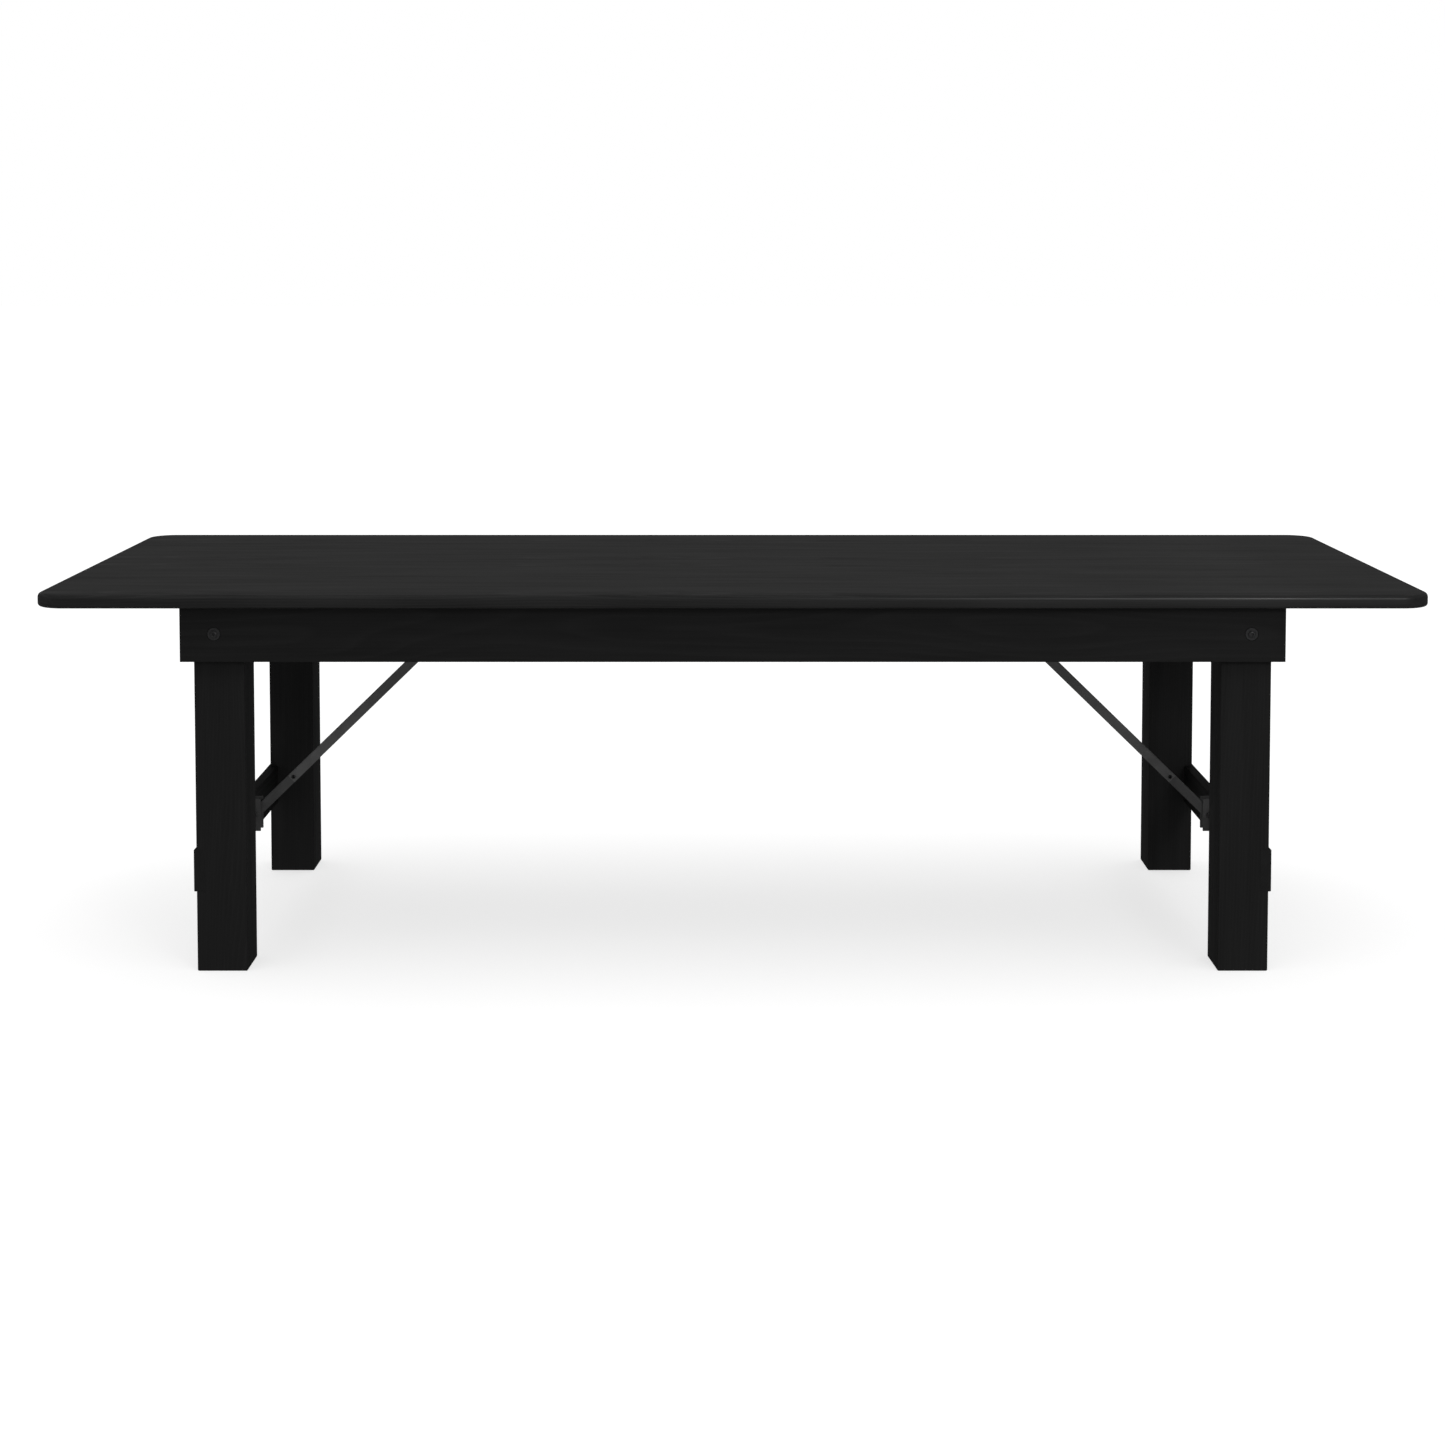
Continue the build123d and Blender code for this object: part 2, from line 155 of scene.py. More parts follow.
def placed(bm, *places):
    """Copies of a shape at one or more placings, as one bmesh."""
    copies = []
    for place in places:
        one = bm.copy()
        bmesh.ops.transform(one, matrix=place, verts=one.verts)
        copies.append(one)
    return joined(copies)


def flipped(bm, axis):
    """The mirror image of a shape across the table's middle."""
    image = bm.copy()
    scale = [-1.0 if i == axis else 1.0 for i in range(3)]
    bmesh.ops.scale(image, vec=scale, verts=image.verts)
    bmesh.ops.reverse_faces(image, faces=image.faces)
    return image


def front_and_back(bm):
    """A shape at the front together with its image at the back."""
    return joined([bm, flipped(bm, Y)])


def as_object(name, bm):
    mesh = bpy.data.meshes.new(name)
    bm.to_mesh(mesh)
    obj = bpy.data.objects.new(name, mesh)
    bpy.context.scene.collection.objects.link(obj)
    return obj


def combined(bm, other, operation):
    """Two closed shapes as one, by an exact boolean."""
    solid, tool = as_object("solid", bm), as_object("tool", other)
    step = solid.modifiers.new("step", "BOOLEAN")
    step.operation = operation
    step.solver = "EXACT"
    step.object = tool
    result = bmesh.new()
    result.from_object(solid, bpy.context.evaluated_depsgraph_get())
    for obj in (solid, tool):
        mesh = obj.data
        bpy.data.objects.remove(obj)
        bpy.data.meshes.remove(mesh)
    bmesh.ops.remove_doubles(result, verts=result.verts, dist=WELD)
    return result


def cut(bm, *tools):
    """A shape less one or more others that don't touch each other."""
    return combined(bm, joined(tools), "DIFFERENCE")


# ---- finished pieces ---------------------------------------------------------------------------
def piece(name, bm, material, node, ease=0.3 * MM):
    """A finished piece with eased edges, which rides as its CAD node does and hides that node."""
    obj = as_object(name, bm)
    obj.data.materials.append(material)
    obj.data.shade_smooth()
    soften = obj.modifiers.new("eased_edges", "BEVEL")
    soften.width = ease
    soften.segments = 2
    soften.limit_method = "ANGLE"
    soften.angle_limit = math.radians(40)
    soften.use_clamp_overlap = True
    soften.harden_normals = True
    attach(obj, frame["nodes"][node]["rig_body"])
    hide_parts(node)


def pair(name, bm, material, node, **finish):
    """The piece at the right end, and its mirror image at the left end."""
    piece(f"{name}_right", bm, material, f"{node}_right", **finish)
    piece(f"{name}_left", flipped(bm, X), material, f"{node}_left", **finish)


# ---- materials ---------------------------------------------------------------------------------
def srgb(code):
    """A hex colour as linear values."""
    values = [int(code[i:i + 2], 16) / 255 for i in (1, 3, 5)]
    return [v / 12.92 if v <= 0.04045 else ((v + 0.055) / 1.055) ** 2.4 for v in values] + [1.0]


MIX_FROM, MIX_TO, MIXED = 6, 7, 2     # where a Mix node keeps its colours


def add(tree, kind, settings, inputs):
    """One node with its settings, and a value or a link for each input that is named."""
    node = tree.nodes.new(kind)
    for key, value in settings.items():
        setattr(node, key, value)
    for key, value in inputs.items():
        if isinstance(value, bpy.types.NodeSocket):
            tree.links.new(value, node.inputs[key])
        else:
            node.inputs[key].default_value = value
    return node


def start(name, **constants):
    """A new material: its tree, its shader with constant values set, and Object coordinates."""
    material = bpy.data.materials.new(name)
    material.use_nodes = True
    tree = material.node_tree
    shader = tree.nodes["Principled BSDF"]
    for key, value in constants.items():
        shader.inputs[key.replace("_", " ")].default_value = value
    return material, tree, shader, add(tree, "ShaderNodeTexCoord", {}, {}).outputs["Object"]


def surface(tree, shader, tone, colours, roughness, relief=None, height=0.0):
    """Colour and roughness that follow one tone from 0 to 1, and a relief in metres."""
    colour = add(tree, "ShaderNodeMix", {"data_type": "RGBA"},
                 {"Factor": tone, MIX_FROM: srgb(colours[0]), MIX_TO: srgb(colours[1])})
    rough = add(tree, "ShaderNodeMapRange", {},
                {"Value": tone, "To Min": roughness[0], "To Max": roughness[1]})
    tree.links.new(colour.outputs[MIXED], shader.inputs["Base Color"])
    tree.links.new(rough.outputs["Result"], shader.inputs["Roughness"])
    if relief:
        bump = add(tree, "ShaderNodeBump", {}, {"Height": relief, "Distance": height, "Strength": 1.0})
        tree.links.new(bump.outputs["Normal"], shader.inputs["Normal"])


# the turn that lays each grain direction along X
ALONG = {X: (0, 0, 0), Y: (0, 0, -math.pi / 2), Z: (0, math.pi / 2, 0)}
tree_number = itertools.count(1)  # every board is from another tree, so that no two match


def stained_pine(node, grain, colours, sheen, roughness, seams=()):
    """Planed pine, stained black and lacquered thin. The eye gets growth rings as arches on the
    face and arcs on the end grain, fine fibre streaks, slow cloudy patches where the stain took
    unevenly, and a satin skin that sinks a little between the fibres.
    seams are the Y of glue lines, darkened in a thin line: partly stain in the joint, partly painted
    shade of the groove between the boards."""
    ring_width, ring_share = 5 * MM, 0.30
    ring_steps = ((0.55, 0.25), (0.85, 1.0))    # share of a ring, and how much late wood is there
    fibre_width = 2 * MM              # real fibres are finer, and are drawn as coarse as they need
    fibre_length, fibre_depth = 250 * MM, 0.04 * MM
    patch_width, patch_share = 25 * MM, 0.9
    patches_along = 3.5               # to a metre of grain
    sways_along, sways_across = 0.7, 4.0        # bends of the grain to a metre
    sway_width = 90 * MM
    darkest, palest = 0.72, 1.42      # the sums of rings, fibres and patches that end the range
    heart_depth = 70 * MM             # from the middle of the board to the heart of its tree
    heart_shift, heart_step = 90 * MM, 1 / 1.618    # to one side, by steps that don't repeat
    # the seam's darkening is partly stain in the glue line and partly painted shade of the groove
    seam_width, seam_stain_and_shade = 1.5 * MM, 3.0
    low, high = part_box(node)
    turn = Euler(ALONG[grain]).to_matrix()
    heart = turn @ ((low + high) / 2)
    size = turn @ (high - low)
    thin, wide = (Y, Z) if abs(size.y) < abs(size.z) else (Z, Y)
    number = next(tree_number)
    heart[thin] -= heart_depth
    heart[wide] += heart_shift * math.sin(math.tau * number * heart_step)
    material, tree, shader, place = start(f"black_stained_pine_{number}", Specular_IOR_Level=sheen)
    along = add(tree, "ShaderNodeMapping", {},
                {"Vector": place, "Rotation": ALONG[grain], "Location": -heart}).outputs["Vector"]

    def noise(run, across, **inputs):
        """Noise with so many cells to a metre along the grain and across it."""
        cells = add(tree, "ShaderNodeMapping", {}, {"Vector": along, "Scale": (run, across, across)})
        return add(tree, "ShaderNodeTexNoise", {},
                   {"Vector": cells.outputs["Vector"], "Scale": 1.0, **inputs})

    def mix_in(value, share, base):
        """A share of one value on top of another."""
        return add(tree, "ShaderNodeMath", {"operation": "MULTIPLY_ADD"},
                   {0: value, 1: share, 2: base}).outputs[0]

    sway = noise(sways_along, sways_across, Detail=2.0).outputs["Color"]
    swayed = add(tree, "ShaderNodeVectorMath", {"operation": "MULTIPLY_ADD"},
                 {0: sway, 1: (0, sway_width, sway_width), 2: along}).outputs["Vector"]
    across = add(tree, "ShaderNodeVectorMath", {"operation": "MULTIPLY"}, {0: swayed, 1: (0, 1, 1)})
    radius = add(tree, "ShaderNodeVectorMath", {"operation": "LENGTH"}, {0: across.outputs["Vector"]})
    count = add(tree, "ShaderNodeMath", {"operation": "DIVIDE"},
                {0: radius.outputs["Value"], 1: ring_width})
    ring = add(tree, "ShaderNodeMath", {"operation": "FRACT"}, {0: count.outputs["Value"]})
    late_wood = add(tree, "ShaderNodeValToRGB", {}, {"Fac": ring.outputs["Value"]})
    ramp = late_wood.color_ramp.elements
    ramp[1].color = (0, 0, 0, 1)
    for share, amount in ring_steps:
        ramp.new(share).color = (amount, amount, amount, 1)
    fibres = noise(1 / fibre_length, 1 / fibre_width, Detail=3.0, Roughness=0.6).outputs["Fac"]
    patches = noise(patches_along, 1 / patch_width, Detail=3.0).outputs["Fac"]
    tone = mix_in(patches, patch_share, mix_in(late_wood.outputs["Color"], ring_share, fibres))
    tone = add(tree, "ShaderNodeMapRange", {}, {"Value": tone, "From Min": darkest, "From Max": palest})
    tone = tone.outputs["Result"]
    # painted shade: the colour is darkened near each seam for the groove's shade, along with the stain
    # in the joint
    for seam in seams:
        height = add(tree, "ShaderNodeSeparateXYZ", {}, {"Vector": place}).outputs["Y"]
        away = add(tree, "ShaderNodeMath", {"operation": "SUBTRACT"}, {0: height, 1: seam}).outputs[0]
        away = add(tree, "ShaderNodeMath", {"operation": "ABSOLUTE"}, {0: away}).outputs[0]
        clear = add(tree, "ShaderNodeMapRange", {"interpolation_type": "SMOOTHSTEP"},
                    {"Value": away, "From Min": seam_width / 2, "From Max": seam_width})
        limit = mix_in(clear.outputs["Result"], 1 + seam_stain_and_shade, -seam_stain_and_shade)
        tone = add(tree, "ShaderNodeMath", {"operation": "MINIMUM"}, {0: tone, 1: limit}).outputs[0]
    surface(tree, shader, tone, colours, roughness, relief=fibres, height=fibre_depth)
    return material


def powder_coat(part, colours):
    """Dark polyester powder baked on folded steel: an even grey satin, faintly pebbled."""
    pebble = 1.5 * MM                 # drawn twice as coarse as it is, so that it shows
    patch = 25 * MM
    material, tree, shader, place = start(f"powder_coated_steel_{part}", Specular_IOR_Level=0.35)
    skin = add(tree, "ShaderNodeTexNoise", {}, {"Vector": place, "Scale": 1 / pebble, "Detail": 2.0})
    cloud = add(tree, "ShaderNodeTexNoise", {}, {"Vector": place, "Scale": 1 / patch, "Detail": 4.0})
    surface(tree, shader, cloud.outputs["Fac"], colours, roughness=(0.38, 0.52),
            relief=skin.outputs["Fac"], height=0.06 * MM)
    return material


def oxide_steel():
    """Steel blackened in a hot oxide bath: dark metal with a soft oily shine, paler where worn."""
    bloom = 3 * MM
    material, tree, shader, place = start("black_oxide_steel", Metallic=0.45)
    bath = add(tree, "ShaderNodeTexNoise", {}, {"Vector": place, "Scale": 1 / bloom, "Detail": 4.0})
    surface(tree, shader, bath.outputs["Fac"], ("#2a2a2b", "#4b4b4c"), roughness=(0.30, 0.42))
    return material


def zinc_plate():
    """Bright zinc on rolled steel: a pale, faintly blue metal with cloudy grain."""
    bloom = 5 * MM
    material, tree, shader, place = start("zinc_plated_steel", Metallic=1.0)
    cloud = add(tree, "ShaderNodeTexNoise", {}, {"Vector": place, "Scale": 1 / bloom, "Detail": 5.0})
    surface(tree, shader, cloud.outputs["Fac"], ("#8b8f94", "#c3c6c8"), roughness=(0.26, 0.42))
    return material


def moulded_nylon():
    """Black nylon from a spark-eroded mould: soft, slightly grey, finely grained."""
    grit = 0.8 * MM                   # real spark grain is finer, and is drawn coarse to show
    material, tree, shader, place = start("moulded_nylon", Specular_IOR_Level=0.4)
    grain = add(tree, "ShaderNodeTexNoise", {}, {"Vector": place, "Scale": 1 / grit, "Detail": 1.0})
    surface(tree, shader, grain.outputs["Fac"], ("#161718", "#222324"), roughness=(0.50, 0.64),
            relief=grain.outputs["Fac"], height=0.04 * MM)
    return material


def bare_beech():
    """Bare beech dowel: pale, with short darker flecks along its length."""
    fleck_width, fleck_length = 0.6 * MM, 4 * MM
    fleck = (1 / fleck_width, 1 / fleck_length, 1 / fleck_width)
    material, tree, shader, place = start("bare_beech")
    run = add(tree, "ShaderNodeMapping", {}, {"Vector": place, "Scale": fleck}).outputs["Vector"]
    flecks = add(tree, "ShaderNodeTexNoise", {}, {"Vector": run, "Scale": 1.0, "Detail": 2.0})
    surface(tree, shader, flecks.outputs["Fac"], ("#b48656", "#dfbd92"), roughness=(0.75, 0.65))
    return material


TOP_FINISH = (("#191919", "#282828"), 0.48, (0.42, 0.32))      # colours, sheen, roughness
FRAME_FINISH = (("#191919", "#202020"), 0.14, (0.58, 0.48))
coat = powder_coat("folded", ("#3e3e3e", "#505050"))
lit_bar_coat = powder_coat("bar", ("#4c4c4c", "#636363"))         # painted light: a paler copy of the same coat for the long bars, whose upward face reads brighter in the light
oxide = oxide_steel()
zinc = zinc_plate()
nylon = moulded_nylon()
beech = bare_beech()


def frame_pine(node, grain):
    return stained_pine(node, grain, *FRAME_FINISH)


# ---- screws: length, shank radius, head radius -------------------------------------------------
STRETCHER_SCREW = (60 * MM, 2.75 * MM, 5.5 * MM)
BRACKET_SCREW = (18 * MM, 2.25 * MM, 4.2 * MM)
GUIDE_SCREW = (20 * MM, 2.0 * MM, 4.0 * MM)
BATTEN_SCREW = (46 * MM, 2.25 * MM, 4.5 * MM)
HEAD = 2                          # where the head's radius stands in each row above
GUIDE_SCREWS_IN_A_ROW = 4
SCREW_EASE = 0.08 * MM


def wood_screw(length, shank, head):
    """A countersunk wood screw with a cross recess. Its head is flush at the origin, facing +Z."""
    flat, rim_drop = 0.95 * head, 0.05 * head
    reach, half_width, depth = 0.55 * head, 0.13 * head, 0.5 * head
    taper = (0.35, 0.5, 1)
    bm = turned([(0, 0), (flat, 0), (head, -rim_drop), (shank, shank - head),
                 (shank, 2 * shank - length), (0, -length)], sides=32)
    arm = block((-reach, -half_width, -depth), (reach, half_width, 0.1 * head))
    bmesh.ops.scale(arm, vec=taper, verts=[v for v in arm.verts if v.co.z < 0])
    for turn in (0, math.pi / 2):
        bm = cut(bm, placed(arm, Matrix.Rotation(turn, 4, "Z")))
    return bm


def seats(places, head, depth):
    """Round holes that take the screws' heads with a hair to spare."""
    gap = 0.12 * MM
    hole = rod(head + gap, (0, 0, PAST), (0, 0, -depth), sides=32)
    return placed(hole, *places)


def stretcher_screw_places():
    low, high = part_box("stretcher_screws_right")
    head = STRETCHER_SCREW[HEAD]
    return [set_at((high.x, y, z), (1, 0, 0)) for y in (low.y + head, high.y - head)
            for z in (low.z + head, high.z - head)]


def bracket_screw_places():
    low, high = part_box("bracket_screws_right")
    head = BRACKET_SCREW[HEAD]
    return [set_at((low.x, 0, z), (-1, 0, 0)) for z in (low.z + head, high.z - head)]


def guide_screw_places():
    low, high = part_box("guide_screws_right")
    head = GUIDE_SCREW[HEAD]
    step = (high.x - low.x - 2 * head) / (GUIDE_SCREWS_IN_A_ROW - 1)
    return [set_at((low.x + head + i * step, y, low.z), (0, 0, -1))
            for y in (low.y + head, high.y - head) for i in range(GUIDE_SCREWS_IN_A_ROW)]


def batten_screw_places():
    low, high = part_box("batten_screws")
    head = BATTEN_SCREW[HEAD]
    batten_low, batten_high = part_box("centre_batten")
    places = []
    for board_low, board_high in board_boxes:
        y = (max(board_low.y, batten_low.y) + min(board_high.y, batten_high.y)) / 2
        places += [set_at((x, y, low.z), (0, 0, -1)) for x in (low.x + head, high.x - head)]
    return places


# ---- top: one slab sawn into its boards --------------------------------------------------------
board_names = sorted(name for name in frame["nodes"] if name.startswith("top_board_"))
board_boxes = [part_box(name) for name in board_names]


def slab():
    corner_radius = 60 * MM
    upper_round, lower_round = 9 * MM, 6 * MM
    low, high = board_boxes[0][0], board_boxes[-1][1]
    bm = block(low, high)
    rounded(bm, edges_along(bm, Z), corner_radius, steps=16)
    rounded(bm, rim_at(bm, Z, high.z), upper_round, steps=8)
    return rounded(bm, rim_at(bm, Z, low.z), lower_round, steps=6)


def sawn(bm, y, side):
    """Takes away what lies past a cut across Y, and closes the shape there."""
    parts = list(bm.verts) + list(bm.edges) + list(bm.faces)
    bmesh.ops.bisect_plane(bm, geom=parts, plane_co=(0, y, 0), plane_no=(0, side, 0), clear_outer=True)
    bmesh.ops.holes_fill(bm, edges=[edge for edge in bm.edges if edge.is_boundary], sides=0)


def top_boards():
    whole = slab()
    seams = [high.y for low, high in board_boxes[:-1]]
    for name, (low, high) in zip(board_names, board_boxes):
        board = whole.copy()
        sides = ((low.y, -1), (high.y, 1))
        glued = [(y, side) for y, side in sides if min(abs(y - seam) for seam in seams) < NEAR]
        for y, side in glued:
            sawn(board, y, side)
        pine = stained_pine(name, X, *TOP_FINISH, [y for y, side in glued])
        piece(f"{name}_planed", board, pine, name, ease=0.8 * MM)


# ---- skirt -------------------------------------------------------------------------------------
ARRIS = 1.5 * MM
BOLT_RADIUS = 5 * MM
WASHER_RADIUS = 12.5 * MM
WASHER_THICKNESS = 1.6 * MM
SEAT_SLACK = 0.8 * MM


def lower_edges(bm, axis, floor):
    return edges_along(bm, axis, lambda middle: middle.z < floor + NEAR)


def long_apron():
    """The front apron, with a shallow seat and a hole for each pivot bolt."""
    low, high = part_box("apron_front")
    bm = block(low, high)
    outer_ends = edges_along(bm, Z, lambda middle: middle.y < low.y + NEAR)
    rounded(bm, lower_edges(bm, X, low.z) + outer_ends, ARRIS, steps=3)
    for name in ("leg_fold_left", "leg_fold_right"):
        at = joint_at[name]
        outside, inside = (at.x, low.y - PAST, at.z), (at.x, high.y + PAST, at.z)
        seat = (at.x, low.y + WASHER_THICKNESS, at.z)
        bm = cut(bm, rod(WASHER_RADIUS + SEAT_SLACK, outside, seat, sides=64))
        bm = cut(bm, rod(BOLT_RADIUS, outside, inside))
    return bm


def skirt():
    front = long_apron()
    for end, apron in (("front", front), ("back", flipped(front, Y))):
        node = f"apron_{end}"
        piece(f"{end}_apron_board", apron, frame_pine(node, X), node, ease=0.6 * MM)
    for side in ("left", "right"):
        node = f"apron_end_{side}"
        low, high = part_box(node)
        board = block(low, high)
        rounded(board, lower_edges(board, Y, low.z), ARRIS, steps=3)
        piece(f"end_apron_board_{side}", board, frame_pine(node, Y), node, ease=0.4 * MM)


def batten():
    low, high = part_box("centre_batten")
    board = block(low, high)
    rounded(board, lower_edges(board, Y, low.z), ARRIS, steps=3)
    places = batten_screw_places()
    board = cut(board, seats(places, BATTEN_SCREW[HEAD], BATTEN_SCREW[HEAD]))
    piece("batten_board", board, frame_pine("centre_batten", Y), "centre_batten", ease=0.4 * MM)
    screws = placed(wood_screw(*BATTEN_SCREW), *places)
    piece("batten_screw_set", screws, zinc, "batten_screws", ease=SCREW_EASE)


# ---- guides under the top ----------------------------------------------------------------------
def guides():
    """Steel angles with a bent corner, screwed up under the boards."""
    plate = 2.5 * MM
    low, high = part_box("guide_front_right")
    angle = block(low, high)
    bend = edges_along(angle, X, lambda middle: middle.z > high.z - NEAR and middle.y > high.y - NEAR)
    rounded(angle, bend, plate, steps=5)
    hollow = block((low.x - PAST, low.y - PAST, low.z - PAST),
                   (high.x + PAST, high.y - plate, high.z - plate))
    near_root = 2 * plate
    root = edges_along(hollow, X, lambda middle: middle.z > high.z - near_root
                       and middle.y > high.y - near_root)
    angle = cut(angle, rounded(hollow, root, plate / 2, steps=4))
    rounded(angle, lower_edges(angle, Y, low.z), 2 * plate, steps=5)
    places = guide_screw_places()
    front = [place for place in places if place.translation.y < 0]
    angle = cut(angle, seats(front, GUIDE_SCREW[HEAD], GUIDE_SCREW[HEAD]))
    pair("front_guide_angle", angle, coat, "guide_front", ease=0.2 * MM)
    pair("back_guide_angle", flipped(angle, Y), coat, "guide_back", ease=0.2 * MM)
    screws = placed(wood_screw(*GUIDE_SCREW), *places)
    pair("guide_screw_set", screws, zinc, "guide_screws", ease=SCREW_EASE)


# ---- legs --------------------------------------------------------------------------------------
def front_post():
    """A square leg: round at the top, let in for the stretcher, bored for its bush."""
    arris, foot_chamfer = 2.5 * MM, 2 * MM
    low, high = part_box("leg_front_right")
    bar_low, bar_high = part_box("stretcher_right")
    bush_low, bush_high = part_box("leg_bushes_right")
    pivot = joint_at["leg_fold_right"]
    bm = block(low, high)
    top_edges = edges_along(bm, Y, lambda middle: middle.z > high.z - NEAR)
    rounded(bm, top_edges, high.z - pivot.z, steps=16)
    rims = rim_at(bm, Y, low.y) + rim_at(bm, Y, high.y)
    off_the_floor = [edge for edge in rims if max(v.co.z for v in edge.verts) > low.z + NEAR]
    rounded(bm, off_the_floor, arris, steps=3)
    rounded(bm, rim_at(bm, Z, low.z), foot_chamfer, steps=1)
    notch = block((bar_low.x, low.y - PAST, bar_low.z), (high.x + PAST, high.y + PAST, bar_high.z))
    bore = rod((bush_high.x - bush_low.x) / 2, (pivot.x, low.y - PAST, pivot.z),
               (pivot.x, high.y + PAST, pivot.z))
    return cut(bm, notch, bore)


def legs():
    front = front_post()
    for end, right in (("front", front), ("back", flipped(front, Y))):
        for side, post in (("right", right), ("left", flipped(right, X))):
            node = f"leg_{end}_{side}"
            piece(f"{end}_post_{side}", post, frame_pine(node, Z), node, ease=0.4 * MM)


def stretchers():
    low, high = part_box("stretcher_right")
    right = block(low, high)
    rounded(right, edges_along(right, Y, lambda middle: middle.x > high.x - NEAR), ARRIS, steps=3)
    places = stretcher_screw_places()
    right = cut(right, seats(places, STRETCHER_SCREW[HEAD], STRETCHER_SCREW[HEAD]))
    for side, board in (("right", right), ("left", flipped(right, X))):
        node = f"stretcher_{side}"
        piece(f"stretcher_board_{side}", board, frame_pine(node, Y), node, ease=0.5 * MM)
    screws = placed(wood_screw(*STRETCHER_SCREW), *places)
    pair("stretcher_screw_set", screws, oxide, "stretcher_screws", ease=SCREW_EASE)


# ---- pivot hardware ----------------------------------------------------------------------------
def hexagon_blank(across, height, both_ends):
    """A hexagon standing on the origin, with its corners turned off at the top or at both ends."""
    corner = across / math.sqrt(3)
    face = 0.475 * across             # the round face that the turning leaves flat
    reach = 1.05 * corner
    drop = (reach - face) * math.tan(math.radians(30))
    lower = [(reach, drop), (face, 0), (0, 0)] if both_ends else [(reach, 0), (0, 0)]
    barrel = turned([(0, height), (face, height), (reach, height - drop)] + lower, sides=60)
    return combined(rod(corner, (0, 0, 0), (0, 0, height), sides=6), barrel, "INTERSECT")


def nut(across, height, bore):
    """A chamfered hexagon nut on the origin, with a countersunk thread hole."""
    lead = 0.8 * MM
    mouth = bore + lead + PAST
    hole = turned([(0, height + PAST), (mouth, height + PAST), (bore, height - lead), (bore, lead),
                   (mouth, -PAST), (0, -PAST)], sides=36)
    return cut(hexagon_blank(across, height, True), hole)


def washer(radius, bore, thickness):
    """A stamped washer on the origin, round on the edge that the punch left."""
    burr = 0.25 * thickness
    return turned([(bore, thickness), (radius - burr, thickness), (radius, thickness - burr),
                   (radius, 0), (bore, 0)], ring=True, sides=64)


def button_bolt(length):
    """A low domed head with a hexagon socket on the origin, and its shank below."""
    head, height, socket, tip = 7.5 * MM, 4.5 * MM, 6 * MM, 0.8 * MM
    crown, rim, under, steps = 0.45 * head, 0.2 * height, 0.96 * head, 9
    dome = []
    for i in range(steps + 1):
        lean = math.pi / 2 * i / steps
        dome.append((crown + (head - crown) * math.sin(lean), rim + (height - rim) * math.cos(lean)))
    shank = [(BOLT_RADIUS, 0), (BOLT_RADIUS, tip - length), (BOLT_RADIUS - tip, -length), (0, -length)]
    bm = turned([(0, height)] + dome + [(under, 0)] + shank, sides=48)
    floor_of_socket, above = (0, 0, height - socket / 2), (0, 0, height + PAST)
    return cut(bm, rod(socket / math.sqrt(3), floor_of_socket, above, sides=6))


def pivot_hardware():
    """Each leg's bolt, its nut inside the leg, and the three washers along it."""
    nut_across, nut_height, past_nut = 17 * MM, 9 * MM, 1 * MM
    pivot = joint_at["leg_fold_right"]
    apron_low, apron_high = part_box("apron_front")
    leg_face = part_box("leg_front_right")[0].y
    nut_face = -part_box("pivot_nuts_right")[1].y
    out = (0, -1, 0)
    bolt = button_bolt(nut_face + nut_height + past_nut - apron_low.y)
    bolt = placed(bolt, set_at((pivot.x, apron_low.y, pivot.z), out))
    pair("pivot_bolt_set", front_and_back(bolt), oxide, "pivot_bolts", ease=0.15 * MM)
    one_nut = nut(nut_across, nut_height, BOLT_RADIUS)
    one_nut = placed(one_nut, set_at((pivot.x, nut_face, pivot.z), (0, 1, 0)))
    pair("pivot_nut_set", front_and_back(one_nut), oxide, "pivot_nuts", ease=0.1 * MM)
    between = (apron_high.y + leg_face + WASHER_THICKNESS) / 2
    places = [set_at((pivot.x, y, pivot.z), out)
              for y in (apron_low.y + WASHER_THICKNESS, between, nut_face)]
    rings = placed(washer(WASHER_RADIUS, BOLT_RADIUS, WASHER_THICKNESS), *places)
    pair("pivot_washer_set", front_and_back(rings), oxide, "pivot_washers", ease=0.1 * MM)


# ---- brace -------------------------------------------------------------------------------------
BRACE_HEIGHT = 20 * MM
PLATE = 2 * MM
BEND = 1.8 * MM
FULL_ROUND = 0.995                # of half the height, so that an end's two rounds don't meet
RIVET_RADIUS = 3 * MM
PIN_RADIUS = 4 * MM
link_pivot, knee = joint_at["link_pivot_right"], joint_at["knee_pivot_right"]
shoe_pivot = joint_at["shoe_pivot_right"]


def along_brace(origin):
    """The placing with +X up along the brace and +Z square to it, upwards."""
    run = (knee - link_pivot).normalized()
    up = Vector((run.z, 0, -run.x))
    turn = Matrix((run, up.cross(run), up)).transposed().to_4x4()
    return Matrix.Translation(origin) @ turn


def channel(start_x, end_x, width, round_start):
    """A folded steel channel along X, open downwards. Its far end is always round."""
    half, inside = BRACE_HEIGHT / 2, width / 2 - PLATE
    strip = block((start_x, -width / 2, -half), (end_x, width / 2, half))
    rounded(strip, edges_along(strip, X, lambda middle: middle.z > 0), BEND, steps=5)
    hollow = block((start_x - PAST, -inside, -half - PAST), (end_x + PAST, inside, half - PLATE))
    rounded(hollow, edges_along(hollow, X, lambda middle: middle.z > 0), BEND / 3, steps=3)
    outline = block((start_x, -width, -half), (end_x, width, half))
    ends = edges_along(outline, Y, lambda middle: middle.x > end_x - NEAR or round_start)
    rounded(outline, ends, FULL_ROUND * half, steps=12)
    return combined(cut(strip, hollow), outline, "INTERSECT")


def cross_hole(radius, x):
    return rod(radius, (x, -BRACE_HEIGHT, 0), (x, BRACE_HEIGHT, 0), sides=40)


